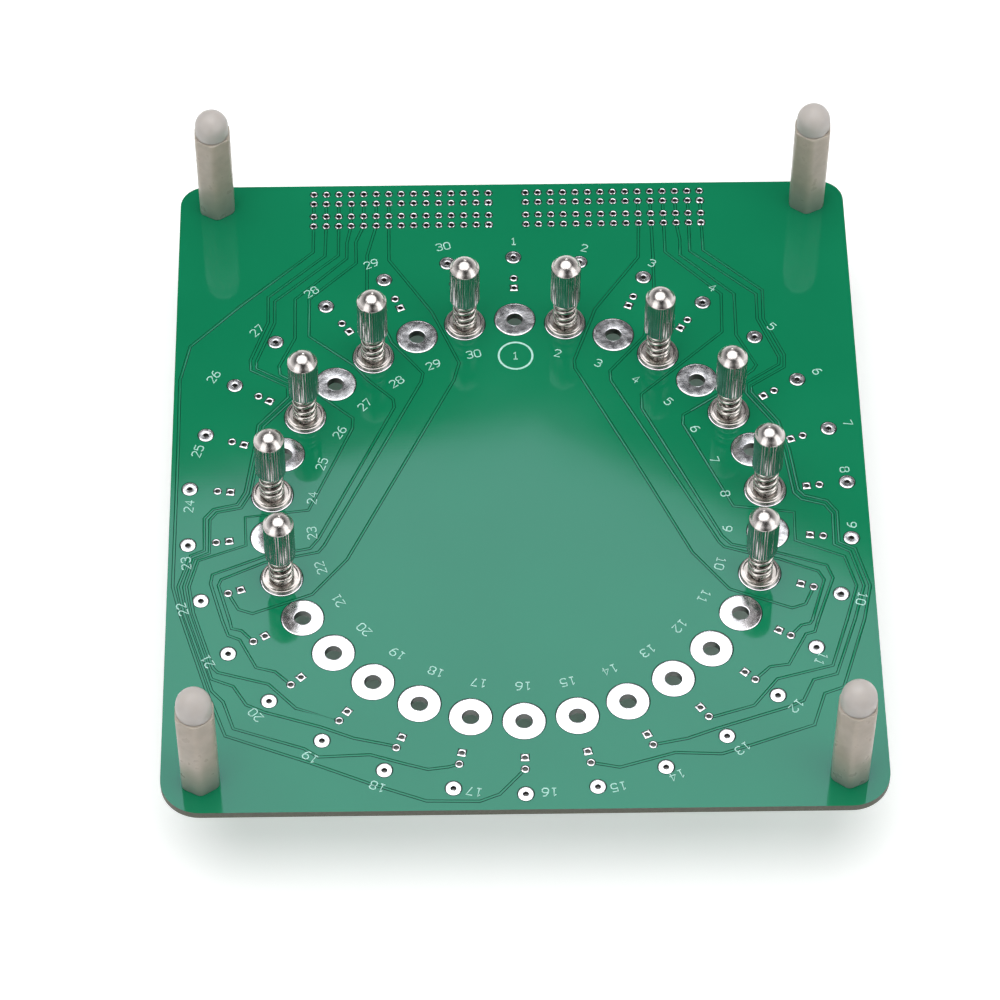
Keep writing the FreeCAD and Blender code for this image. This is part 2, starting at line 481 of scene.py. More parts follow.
@dataclass(frozen=True)
class SolderMask(Finish):
    """Glossy green lacquer over glass weave, with a mirror-like skin of this strength."""

    shine: float

    def mix(self, recipe: Recipe) -> None:
        """Broad colour drift, faint weave in the relief, bluish reflections."""
        place = recipe.place()
        self.drift(recipe, recipe.noise(place, grain=30.0))
        warp = recipe.waves(place, pitch=0.9, direction="X")
        weft = recipe.waves(place, pitch=0.75, direction="Y")
        weave = recipe.arithmetic("MULTIPLY", warp, weft)
        swell = recipe.relief(recipe.noise(place, grain=9.0, detail=1.0), depth=0.005)
        recipe.set(normal=recipe.relief(weave, depth=0.0005, under=swell), ior=1.52)
        recipe.set(specular_ior_level=self.shine, specular_tint=(0.60, 0.71, 1.0, 1))


class TinnedCopper(Finish):
    """Hot-levelled tin: bright, mottled and slightly uneven."""

    def mix(self, recipe: Recipe) -> None:
        """Metal with mottling at two sizes."""
        place = recipe.place()
        self.drift(recipe, recipe.noise(place, grain=1.1, detail=6.0))
        recipe.set(metallic=1.0, normal=recipe.relief(recipe.noise(place, grain=1.5), depth=0.012))


class PolishedNickel(Finish):
    """Plated brass, polished."""

    def mix(self, recipe: Recipe) -> None:
        """Metal that drifts softly between its two colours."""
        self.drift(recipe, recipe.noise(recipe.place(), grain=1.6, detail=3.0))
        recipe.set(metallic=1.0)


class TurnedNickel(Finish):
    """Plated brass with the fine rings that a lathe leaves."""

    def mix(self, recipe: Recipe) -> None:
        """Metal with fine rings about the piece's own axis."""
        place = recipe.bench_place()
        self.drift(recipe, recipe.noise(place, grain=1.4, detail=3.0))
        rings = recipe.waves(place, pitch=0.3, direction="Z", rings=True)
        recipe.set(metallic=1.0, normal=recipe.relief(rings, depth=0.001))


class DrawnSteel(Finish):
    """Spring wire, darker and a little warm."""

    def mix(self, recipe: Recipe) -> None:
        """Metal that drifts between its two colours."""
        self.drift(recipe, recipe.noise(recipe.place(), grain=0.9, detail=3.0))
        recipe.set(metallic=1.0)


class Laminate(Finish):
    """Sawn edge of glass-fibre board: thin layers, dusty and dull."""

    def mix(self, recipe: Recipe) -> None:
        """Layers along Z broken up by specks."""
        place = recipe.place()
        layers = recipe.waves(place, pitch=0.2, direction="Z")
        specks = recipe.noise(place, grain=0.4, detail=4.0)
        self.drift(recipe, recipe.arithmetic("MULTIPLY", layers, specks))
        recipe.set(normal=recipe.relief(recipe.noise(place, grain=0.15, detail=3.0), depth=0.02))


class PrintedInk(Finish):
    """White legend ink, thin enough for the green to show through in places."""

    def mix(self, recipe: Recipe) -> None:
        """Matt paint with a patchy cover."""
        self.drift(recipe, recipe.noise(recipe.place(), grain=0.5, detail=4.0))


@dataclass(frozen=True)
class Translucent(Finish):
    """Milky plastic, that light sinks into by a depth in millimetres.

    Its lowest stretch, between the two heights in millimetres, is darker and greener: painted shade and a
    painted green reflection of the board.
    """

    depth: float
    foot: Point = (21.0, 31.0)
    foot_colour: Colour = (0.28, 0.33, 0.28)

    def mix(self, recipe: Recipe) -> None:
        """Soft body with a faintly uneven skin."""
        place = recipe.place()
        body = self.drift(recipe, recipe.noise(place, grain=2.5, detail=3.0))
        split = recipe.add("ShaderNodeSeparateXYZ", {"Vector": place})
        up = recipe.ranged(split.outputs["Z"], self.foot[0] * MM, self.foot[1] * MM, 0.0, 1.0)
        # Towards the foot the colour blends to a darker green: painted shade and a painted reflection of the
        # board
        recipe.set(
            base_color=recipe.blend(up, self.foot_colour, body),
            subsurface_weight=0.85,
            subsurface_radius=(1.0, 0.93, 0.86),
            subsurface_scale=self.depth * MM,
            ior=1.5,
            normal=recipe.relief(recipe.noise(place, grain=2.2, detail=1.0), depth=0.01),
        )


class Finishes:
    """All materials of the fixture, each built once."""

    def __init__(self) -> None:
        """Builds the materials."""
        self.mask: Material = SolderMask(
            "solder_mask", (0.0040, 0.222, 0.094), (0.0055, 0.238, 0.103), (0.05, 0.08), shine=0.62
        ).material()
        # Sides of the traces, darkened as painted shade
        self.mask_edge: Material = SolderMask(
            "solder_mask_edge", (0.0003, 0.030, 0.013), (0.0005, 0.040, 0.018), (0.20, 0.30), shine=0.12
        ).material()
        self.laminate: Material = Laminate(
            "laminate_edge", (0.075, 0.08, 0.055), (0.20, 0.20, 0.16), (0.55, 0.8)
        ).material()
        # Bare board about each pad, darker than the mask, and darkened further as painted shade
        self.opening: Material = SolderMask(
            "mask_opening", (0.0015, 0.045, 0.020), (0.002, 0.055, 0.026), (0.16, 0.22), shine=0.25
        ).material()
        self.tin: Material = TinnedCopper(
            "tinned_copper", (0.66, 0.67, 0.71), (0.86, 0.86, 0.89), (0.10, 0.19)
        ).material()
        # Tin down the holes, darkened as painted shade for the shadow inside them
        self.bore: Material = TinnedCopper(
            "plated_bore", (0.16, 0.16, 0.155), (0.24, 0.24, 0.235), (0.30, 0.45)
        ).material()
        self.ink: Material = PrintedInk(
            "legend_ink", (0.64, 0.96, 0.89), (0.42, 0.82, 0.70), (0.5, 0.65)
        ).material()
        self.polished: Material = PolishedNickel(
            "polished_nickel", (0.68, 0.64, 0.62), (0.62, 0.58, 0.56), (0.21, 0.27)
        ).material()
        self.knurled: Material = PolishedNickel(
            "knurled_nickel", (0.50, 0.47, 0.45), (0.44, 0.41, 0.39), (0.15, 0.21)
        ).material()
        self.flange: Material = TurnedNickel(
            "turned_nickel", (0.55, 0.515, 0.495), (0.48, 0.445, 0.425), (0.14, 0.21)
        ).material()
        self.plated: Material = TurnedNickel(
            "plated_nut", (0.70, 0.68, 0.64), (0.60, 0.58, 0.55), (0.24, 0.40)
        ).material()
        self.wire: Material = DrawnSteel(
            "spring_wire", (0.70, 0.66, 0.63), (0.58, 0.54, 0.51), (0.10, 0.17)
        ).material()
        # Standoff nylon, with painted shade and a painted green reflection of the board at its foot
        nylon = Translucent("nylon", (0.50, 0.44, 0.375), (0.42, 0.37, 0.31), (0.26, 0.36), depth=2.4)
        self.nylon: Material = nylon.material()
        # The nut's band of painted foot shade lies below it, so the nut has none
        self.nylon_nut: Material = replace(nylon, name="nylon_nut", foot=(0.0, 1.0)).material()
        self.cap: Material = Translucent(
            "cap_rubber", (0.57, 0.535, 0.51), (0.53, 0.495, 0.47), (0.34, 0.46), depth=2.8
        ).material()


# Circuit board

@dataclass(frozen=True)
class Hole:
    """Plated hole with its pad.

    Fields:
        bore: Diameter of the open hole.
        pad: Diameter, or width where it is square, of the pad.
        segments: Corners of the pad's outline.
        bare: Width of the bare ring between the pad and the mask.
        rise: Height of the tin above the board.
        square: Whether the pad is square.
    """

    bore: float
    pad: float
    segments: int
    bare: float
    rise: float = 0.05
    square: bool = False


@dataclass(frozen=True)
class Trace:
    """Copper trace from a header column to the component pad of a ring position.

    Fields:
        column: Middle of the header column, from the middle of the board.
        position: Ring position that it ends at.
        corners: Corners of its route between the two.
    """

    column: float
    position: int
    corners: tuple[Point, ...]


# Strokes of each digit, on a grid as wide and as high as this
STROKE_GRID = (4, 6)
STROKES: dict[str, tuple[tuple[Point, ...], ...]] = {
    "0": (((1, 0), (3, 0), (4, 1), (4, 5), (3, 6), (1, 6), (0, 5), (0, 1), (1, 0)),),
    "1": (((0.7, 4.7), (2, 6), (2, 0)), ((0.6, 0), (3.4, 0))),
    "2": (((0, 5), (1, 6), (3, 6), (4, 5), (4, 3.9), (0, 0), (4, 0)),),
    "3": (
        ((0, 5.2), (1, 6), (3, 6), (4, 5.1), (4, 4), (3, 3.2), (1.5, 3.2)),
        ((3, 3.2), (4, 2.3), (4, 0.9), (3, 0), (1, 0), (0, 0.8)),
    ),
    "4": (((3, 0), (3, 6), (0, 1.9), (4.2, 1.9)),),
    "5": (((3.8, 6), (0.3, 6), (0.1, 3.4), (1, 3.8), (3, 3.8), (4, 2.9), (4, 1), (3, 0), (1, 0), (0, 0.8)),),
    "6": ((
        (3.6, 6), (1.8, 5.8), (0.3, 3.8), (0, 2), (0, 1), (1, 0),
        (3, 0), (4, 1), (4, 2.4), (3, 3.4), (1, 3.4), (0.1, 2.5),
    ),),
    "7": (((0, 6), (4, 6), (1.2, 0)),),
    "8": (
        ((1, 3.2), (3, 3.2), (4, 4.1), (4, 5.1), (3, 6), (1, 6), (0, 5.1), (0, 4.1), (1, 3.2)),
        ((1, 3.2), (0, 2.3), (0, 0.9), (1, 0), (3, 0), (4, 0.9), (4, 2.3), (3, 3.2), (1, 3.2)),
    ),
    "9": ((
        (0.4, 0), (2.2, 0.2), (3.7, 2.2), (4, 4), (4, 5), (3, 6),
        (1, 6), (0, 5), (0, 3.6), (1, 2.6), (3, 2.6), (3.9, 3.5),
    ),),
}


# Pads with this many corners or more are wide ones
WIDE_PAD_SEGMENTS = 24


def chequer(x: float, y: float) -> float:
    """Distance from the middle that is the same all along the side of a square."""
    return max(abs(x), abs(y))


def shortened(run: Sequence[Point], at_start: float, at_end: float) -> list[Point]:
    """Run of points with a length taken off both ends, so that it stops at the pads."""
    points = [Vector(point) for point in run]
    first = (points[1] - points[0]).normalized() * at_start
    last = (points[-2] - points[-1]).normalized() * at_end
    points[0], points[-1] = points[0] + first, points[-1] + last
    return [(point.x, point.y) for point in points]


@dataclass
class CircuitBoard:
    """Green board with its plated holes, traces and printed numbers."""

    finishes: Finishes
    front_corner: float = 7.5
    back_corner: float = 5.0
    ring_y: float = -8.0
    ring_radius: float = 48.0
    positions: int = 30
    stud_hole: float = 4.3
    stud_places: tuple[Point, ...] = ((-60.0, -68.0), (60.0, -68.0), (-60.0, 70.5), (60.0, 70.5))
    ring_hole: Hole = Hole(bore=3.2, pad=8.1, segments=48, bare=0.16)
    test_hole: Hole = Hole(bore=1.0, pad=3.0, segments=24, rise=0.07, bare=0.18)
    inner_hole: Hole = Hole(bore=0.95, pad=1.5, segments=16, rise=0.10, bare=0.12, square=True)
    outer_hole: Hole = Hole(bore=0.98, pad=1.55, segments=16, rise=0.10, bare=0.12)
    header_hole: Hole = Hole(bore=0.92, pad=1.46, segments=12, rise=0.13, bare=0.17)
    header_end_hole: Hole = Hole(bore=0.92, pad=1.44, segments=12, rise=0.13, bare=0.17, square=True)
    test_radius: float = 64.1
    inner_radius: float = 56.15
    outer_radius: float = 58.67
    header_pitch: float = 2.54
    header_columns: int = 15
    header_starts: tuple[float, float] = (-40.37, 2.74)
    header_rows: tuple[float, ...] = (73.21, 70.67, 67.34, 64.80)
    trace_foot: float = 0.80
    trace_top: float = 0.40
    trace_rise: float = 0.035
    trace_sink: float = 0.02
    digit_height: float = 1.72
    digit_width: float = 1.15
    digit_pitch: float = 1.6
    stroke: float = 0.24
    stroke_taper: float = 0.8
    circle_radius: float = 3.35
    circle_widths: tuple[float, float] = (0.42, 0.36)
    circle_steps: int = 64
    ink_rise: float = 0.05
    ink_sink: float = 0.01

    def __post_init__(self) -> None:
        """Takes the board's size from the CAD model."""
        low, high = (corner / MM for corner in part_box("circuit_board"))
        self.width, self.depth = high.x - low.x, high.y - low.y
        self.bottom, self.top = low.z, high.z

    def turn(self, position: int) -> float:
        """Turn of a ring position from the first one, in degrees, below zero as it is clockwise."""
        return -360 / self.positions * (position - 1)

    def polar(self, position: int, radius: float, along: float = 0.0) -> Point:
        """Point at a ring position and radius, moved anticlockwise along the ring."""
        angle = math.radians(90 + self.turn(position))
        x = radius * math.cos(angle) - along * math.sin(angle)
        y = radius * math.sin(angle) + along * math.cos(angle)
        return x, y + self.ring_y

    def on_ring(self, radius: float) -> list[Matrix]:
        """Placement at each ring position, turned to face outwards."""
        return [
            at(*self.polar(position, radius), turn=self.turn(position))
            for position in range(1, self.positions + 1)
        ]

    def header_places(self, square: bool) -> list[Matrix]:
        """Placement of each header hole, for the square pads or for the round ones."""
        places = []
        for start in self.header_starts:
            for row, y in enumerate(self.header_rows):
                for column in range(self.header_columns):
                    last = column == self.header_columns - 1 and row % 2 == 1
                    if last == square:
                        places.append(at(start + self.header_pitch * column, y))
        return places

    def hole_groups(self) -> list[tuple[str, Hole, list[Matrix]]]:
        """Every kind of plated hole, with its name and places."""
        return [
            ("ring_pads", self.ring_hole, self.on_ring(self.ring_radius)),
            ("test_pads", self.test_hole, self.on_ring(self.test_radius)),
            ("component_pads_inner", self.inner_hole, self.on_ring(self.inner_radius)),
            ("component_pads_outer", self.outer_hole, self.on_ring(self.outer_radius)),
            ("header_pads_round", self.header_hole, self.header_places(square=False)),
            ("header_pads_square", self.header_end_hole, self.header_places(square=True)),
        ]

    def drills(self) -> Object:
        """One tool for all the holes, whose walls come to lie under the tin."""
        low, high = self.bottom - OVERCUT, self.top + OVERCUT
        tools = []
        for name, hole, places in self.hole_groups():
            diameter = hole.bore + 0.1 if hole is self.ring_hole else hole.pad - 0.3
            tool = rod(name + "_drill", diameter, low, high, hole.segments)
            tools.append(laid_out(tool, places, name + "_drill"))
        tool = rod("stud_drill", self.stud_hole, low, high, segments=40)
        tools.append(laid_out(tool, [at(x, y) for x, y in self.stud_places], "stud_drill"))
        return joined(tools, "drills")

    def panel(self) -> None:
        """Board with rounded corners and all its holes."""
        deselect_all()
        bpy.ops.mesh.primitive_plane_add(size=1, location=(0, 0, 0))
        panel = bpy.context.object
        panel.name = "board_panel"
        with editing(panel):
            bpy.ops.mesh.select_all(action="SELECT")
            bpy.ops.transform.resize(value=(self.width * MM, self.depth * MM, 1))
            bpy.ops.transform.translate(value=(0, 0, self.bottom * MM))
            for side, radius in ((-1, self.front_corner), (1, self.back_corner)):
                edge = side * self.depth / 2 * MM
                pick(panel, Pick.VERTICES, lambda vertex: abs(vertex.co.y - edge) < MM)
                bpy.ops.mesh.bevel(affect="VERTICES", offset=radius * MM, segments=14)
            bpy.ops.mesh.select_all(action="SELECT")
            rise = (0, 0, (self.top - self.bottom) * MM)
            bpy.ops.mesh.extrude_region_move(TRANSFORM_OT_translate={"value": rise})
            made_whole()
        carve(panel, self.drills())
        finishes = [self.finishes.mask, self.finishes.laminate]
        dress(panel, finishes, lambda face: 0 if abs(face.normal.z) > 0.5 else 1)
        hand_over(panel, ["circuit_board"])

    def plated_hole(self, name: str, hole: Hole) -> Object:
        """Tinned tube through the board with a pad at both ends, and the bare ring about each."""
        bore, pad, moat = hole.bore / 2, hole.pad / 2, hole.pad / 2 + hole.bare
        crown = bore + (pad - bore) * 0.5
        top, bottom, lift = self.top, self.bottom, 0.004
        # Radius, and height as a share of the tin's rise: wide pads are flat, and narrow ones domed
        tin = [(bore, 0.3)]
        if hole.segments >= WIDE_PAD_SEGMENTS:
            tin += [(bore + 0.05, 0.9), (bore + 0.14, 1)]
            tin += [(pad - 0.24, 1), (pad - 0.15, 0.96), (pad - 0.05, 0.7)]
        else:
            tin += [(crown - 0.05, 1), (crown + 0.05, 1)]
        profile = [(radius, top + hole.rise * share) for radius, share in tin]
        profile += [(pad, top + lift), (moat, top + lift), (moat, bottom - lift), (pad, bottom - lift)]
        profile += [(crown, bottom - hole.rise), (bore, bottom - hole.rise * 0.4), profile[0]]
        piece = turned(name, profile, hole.segments)
        if hole.square:
            for vertex in piece.data.vertices:
                radius = math.hypot(*vertex.co.xy)
                share = max(0.0, (radius / MM - bore) / (pad - bore))
                vertex.co.xy *= 1 + (radius / chequer(*vertex.co.xy) - 1) * min(1.0, share)
        return piece

    def pads(self) -> None:
        """All the plated holes, a piece for each kind."""
        for name, hole, places in self.hole_groups():
            pattern = self.plated_hole(name, hole)
            measure = chequer if hole.square else math.hypot
            edge, wall = (hole.pad + hole.bare) / 2 * MM, (hole.bore / 2 + 0.01) * MM
            corners = [vertex.co.xy for vertex in pattern.data.vertices]
            bare = [measure(*corner) > edge for corner in corners]
            inner = [math.hypot(*corner) < wall for corner in corners]

            def finish_of(face: bpy.types.MeshPolygon) -> int:
                """Bare laminate about the pad, darkened further as painted shade; tin down the hole,
                darkened as painted shade; and bright tin between.
                """
                if any(bare[vertex] for vertex in face.vertices):
                    return 1
                return 2 if all(inner[vertex] for vertex in face.vertices) else 0

            dress(pattern, [self.finishes.tin, self.finishes.opening, self.finishes.bore], finish_of)
            smooth(pattern, angle=50)
            hand_over(laid_out(pattern, places, name))

    def traces(self) -> None:
        """Traces under the mask, seen as low ridges whose sides are darkened as painted shade."""
        runs = []
        at_header = self.header_hole.pad / 2 + self.header_hole.bare
        at_part = self.outer_hole.pad / 2 + self.outer_hole.bare
        for trace in TRACES:
            start, end = (trace.column, self.header_rows[-1]), self.polar(trace.position, self.outer_radius)
            runs.append(shortened([start, *trace.corners, end], at_header, at_part))
            for row, next_row in zip(self.header_rows[1:], self.header_rows[2:]):
                runs.append(shortened([(trace.column, row), (trace.column, next_row)], at_header, at_header))
        low, high = self.top - self.trace_sink, self.top + self.trace_rise
        piece = strips("board_traces", runs, self.trace_foot, self.trace_top, low, high)
        finishes = [self.finishes.mask, self.finishes.mask_edge]
        # The sloping sides get the darkened mask: painted shade
        dress(piece, finishes, lambda face: 0 if abs(face.normal.z) > 0.998 else 1)
        hand_over(piece)

    def number(self, text: str, x: float, y: float, turn: float) -> list[list[Point]]:
        """Strokes of a number, centred on a point and turned by degrees."""
        placement = at(x, y, turn=turn)
        left = -(self.digit_pitch * (len(text) - 1) + self.digit_width) / 2
        wide, high = STROKE_GRID
        runs = []
        for place, digit in enumerate(text):
            for stroke in STROKES[digit]:
                run = []
                for across, up in stroke:
                    from_left = left + self.digit_pitch * place + across / wide * self.digit_width
                    flat = Vector((from_left, (up / high - 0.5) * self.digit_height, 0))
                    point = placement @ (flat * MM) / MM
                    run.append((point.x, point.y))
                if stroke[0] == stroke[-1]:
                    run[-1] = run[0]
                runs.append(run)
        return runs

    def numbers(self) -> None:
        """Printed numbers inside and outside the ring, and the circle about the first."""
        runs: list[list[Point]] = []
        for position in range(1, self.positions + 1):
            text, turn = str(position), self.turn(position)
            radius = INNER_NUMBER_RADIUS if position > 1 else FIRST_NUMBER_RADIUS
            runs += self.number(text, *self.polar(position, radius), turn)
            radius, along = OUTER_NUMBERS.get(position, (OUTER_NUMBER_RADIUS, 0.0))
            runs += self.number(text, *self.polar(position, radius, along), turn)
        low, high = self.top - self.ink_sink, self.top + self.ink_rise
        ink = strips("board_numbers", runs, self.stroke, self.stroke * self.stroke_taper, low, high)
        centre = self.polar(1, FIRST_NUMBER_RADIUS)
        circle = arc(centre, self.circle_radius, 0, math.tau, self.circle_steps)
        circle[-1] = circle[0]
        mark = strips("board_circle", [circle], *self.circle_widths, low, high)
        legend = joined([ink, mark], "board_numbers")
        dress(legend, [self.finishes.ink])
        hand_over(legend)

    def build(self) -> None:
        """Builds the board and all that is on it."""
        self.panel()
        self.pads()
        self.traces()
        self.numbers()


FIRST_NUMBER_RADIUS = 38.8
INNER_NUMBER_RADIUS = 40.2
OUTER_NUMBER_RADIUS = 68.1
# Outer numbers that are printed off the usual place: radius, and shift along the ring
OUTER_NUMBERS: dict[int, tuple[float, float]] = {
    1: (68.3, -0.15),
    2: (67.9, -0.3),
    3: (68.2, -0.2),
    4: (68.4, 0.5),
    5: (68.5, -0.4),
    6: (68.6, -0.3),
    8: (64.1, 3.0),
    9: (64.0, 3.1),
    11: (66.1, -2.0),
    12: (68.2, 0.4),
    13: (68.0, 0.6),
    14: (66.6, 1.0),
    15: (65.0, 3.7),
    16: (63.8, 4.4),
    17: (64.1, 3.9),
    18: (67.9, 0.3),
    19: (68.3, 0.4),
    20: (68.0, 0.7),
    21: (68.3, -0.4),
    22: (68.0, 0.8),
    23: (64.8, 4.3),
    24: (63.7, 4.15),
    25: (64.3, 4.2),
    26: (68.9, 0.2),
    27: (68.9, 0.3),
    28: (68.9, 0.2),
    29: (69.0, 0.7),
    30: (68.6, -0.1),
}

TRACES = (
    Trace(-40.37, 16, (
        (-40.4, 58), (-55, 44), (-64.6, 34), (-66.4, 25.5), (-66.3, 10), (-66.4, -24.5),
        (-64.9, -30.6), (-59, -49.7), (-57.7, -53), (-55.7, -58.6), (-40.2, -64.6), (-28.7, -69.5),
        (-18.3, -73.4), (-8.5, -73.6), (-4.8, -72.1),
    )),
    Trace(-37.83, 17, (
        (-38, 57), (-49.3, 46.4), (-49.2, 40), (-52.6, 30.3), (-52.4, 27.8), (-45.2, 23.7),
        (-45, 21), (-50.8, 14.1), (-51.4, 8.4), (-53, -2.2), (-54.5, -5.1), (-59.1, -6.2),
        (-60.8, -8.4), (-60.6, -16), (-63.2, -17.2), (-65.4, -24.5), (-64.1, -30.6), (-58.4, -48.5),
        (-56.2, -51), (-54.2, -57), (-41, -61.6), (-38.3, -63.5), (-28.7, -63.1), (-22, -65.3),
        (-18, -66.5), (-14.2, -66),
    )),
    Trace(-35.29, 18, (
        (-35.3, 57.1), (-48, 45.3), (-47.9, 39.8), (-51.4, 30), (-51.3, 28.3), (-44, 24),
        (-43.8, 20.7), (-49.8, 13.8), (-50.4, 8.2), (-52, -2.6), (-53.7, -6), (-58.4, -7),
        (-59.7, -8.8), (-59.6, -16.6), (-62.6, -18), (-64.3, -24.5), (-63.2, -30.6), (-58.5, -45.8),
        (-54.4, -47.5), (-51.9, -51.7), (-48.4, -53.4), (-38, -56.8), (-31.8, -59.4), (-24.8, -61.1),
    )),
    Trace(-32.75, 19, (
        (-33.6, 60.3), (-33.6, 56.3), (-43.9, 45.8), (-43.8, 35.8), (-46.9, 28.7), (-46.6, 26.7),
        (-38.7, 21.4), (-32.2, 15.6), (-32.3, 13.1), (-40.7, -6.7), (-52.9, -8.2), (-52.6, -14.9),
        (-61.7, -18.4), (-63.3, -24.5), (-62.3, -30.6), (-58.3, -43.3), (-57.4, -44.3),
        (-47.8, -47.1), (-42.6, -52.6), (-35.3, -55.2),
    )),
    Trace(-30.21, 20, (
        (-31.8, 60.5), (-31.7, 55), (-41.1, 45.8), (-41, 36.3), (-32, 28.8), (-29.2, 25),
        (-24.3, 20.2), (-24.1, 18.2), (-38.8, -13.7), (-40.3, -15.8), (-49.1, -17.6),
        (-58.9, -21.7), (-59.2, -23.8), (-56.8, -32.4), (-55.6, -35.9), (-53.4, -36.9),
        (-50.2, -43.3), (-46.6, -44.3),
    )),
    Trace(-27.67, 21, (
        (-29.5, 57), (-29.5, 47.2), (-24.5, 34.5), (-18.4, 26.6), (-18.8, 24.4), (-37.6, -15.1),
        (-38.7, -16.7), (-49, -19), (-57.2, -22.9), (-57.7, -24.3), (-55.4, -32.4), (-55, -34.3),
        (-53.1, -34.8),
    )),
    Trace(-25.13, 22, (
        (-25.1, 55.7), (-16.5, 42.1), (-11.2, 29.1), (-12.3, 24.8), (-33.2, -18.5),
        (-39.8, -26.6), (-51.1, -30.9), (-53.8, -29.9),
    )),
    Trace(25.60, 10, (
        (25.2, 55.8), (16.1, 42.5), (11.6, 29.5), (11.7, 27.5), (13.2, 24.5), (21.9, 6.3),
        (33, -17.7), (39.7, -26.4), (51.4, -31), (54, -30.1),
    )),
    Trace(28.14, 11, (
        (28.2, 55.8), (28.1, 48.2), (25.7, 35.4), (18.6, 26.7), (18.7, 24.4), (38.3, -15.4),
        (39.2, -16.5), (43.3, -17.8), (49.6, -19.5), (56.9, -22.5), (57.9, -24.5), (55.1, -33.8),
        (54.6, -34.6), (52.9, -35),
    )),
    Trace(30.68, 12, (
        (30.7, 57.1), (41.5, 46), (41.2, 36.3), (24.6, 20.8), (24.6, 17.3), (38.9, -13.9),
        (40.6, -15.9), (43.4, -16.6), (49.7, -18.1), (58.6, -21.1), (59.6, -24.1), (56.2, -33.8),
        (55.4, -36.5), (53.7, -37), (50.1, -43.9), (46.5, -44.4),
    )),
    Trace(33.22, 13, (
        (33.8, 60.2), (33.7, 56.3), (44.1, 46), (44, 35.5), (47.6, 27.8), (46.9, 26.6),
        (39.1, 20.1), (32.6, 15.5), (32.5, 13.3), (41.4, -6.8), (47.7, -7.6), (53.1, -8.4),
        (52.9, -15.1), (62.1, -19), (64, -26), (61.7, -33.7), (58.3, -44.3), (47.7, -47.2),
        (43.1, -53.1), (35.5, -55.5),
    )),
    Trace(35.76, 14, (
        (35.7, 57.3), (48.5, 45.9), (48.4, 39.5), (52.2, 29.8), (52.1, 28), (45.3, 23.3),
        (45.3, 20.8), (50.3, 13.3), (52, 6.4), (53.3, -3.8), (54.6, -5.3), (59, -6.6),
        (60.5, -8.9), (60.3, -16.2), (63.3, -17.9), (65.4, -26), (63.2, -33.7), (59, -46.2),
        (54.5, -47.5), (52.4, -52.1), (49.6, -53.5), (35.8, -58.2), (30.3, -60.3),
    )),
    Trace(38.30, 15, (
        (38.4, 57.5), (49.8, 46.9), (49.6, 39.5), (53.3, 30.3), (53.1, 27.2), (46.3, 22.6),
        (46.4, 21), (51.3, 13.7), (53, 6.6), (54.2, -3), (55.3, -4.4), (59.6, -5.7), (61.4, -8.4),
        (61.3, -15.6), (64.3, -17.2), (66.6, -26), (65, -33.7), (60.1, -49.2), (56.4, -50.6),
        (54.1, -57.6), (41.9, -62), (36.5, -63.8), (27.9, -63.4), (17.5, -66.5),
    )),
)


# Spring probes

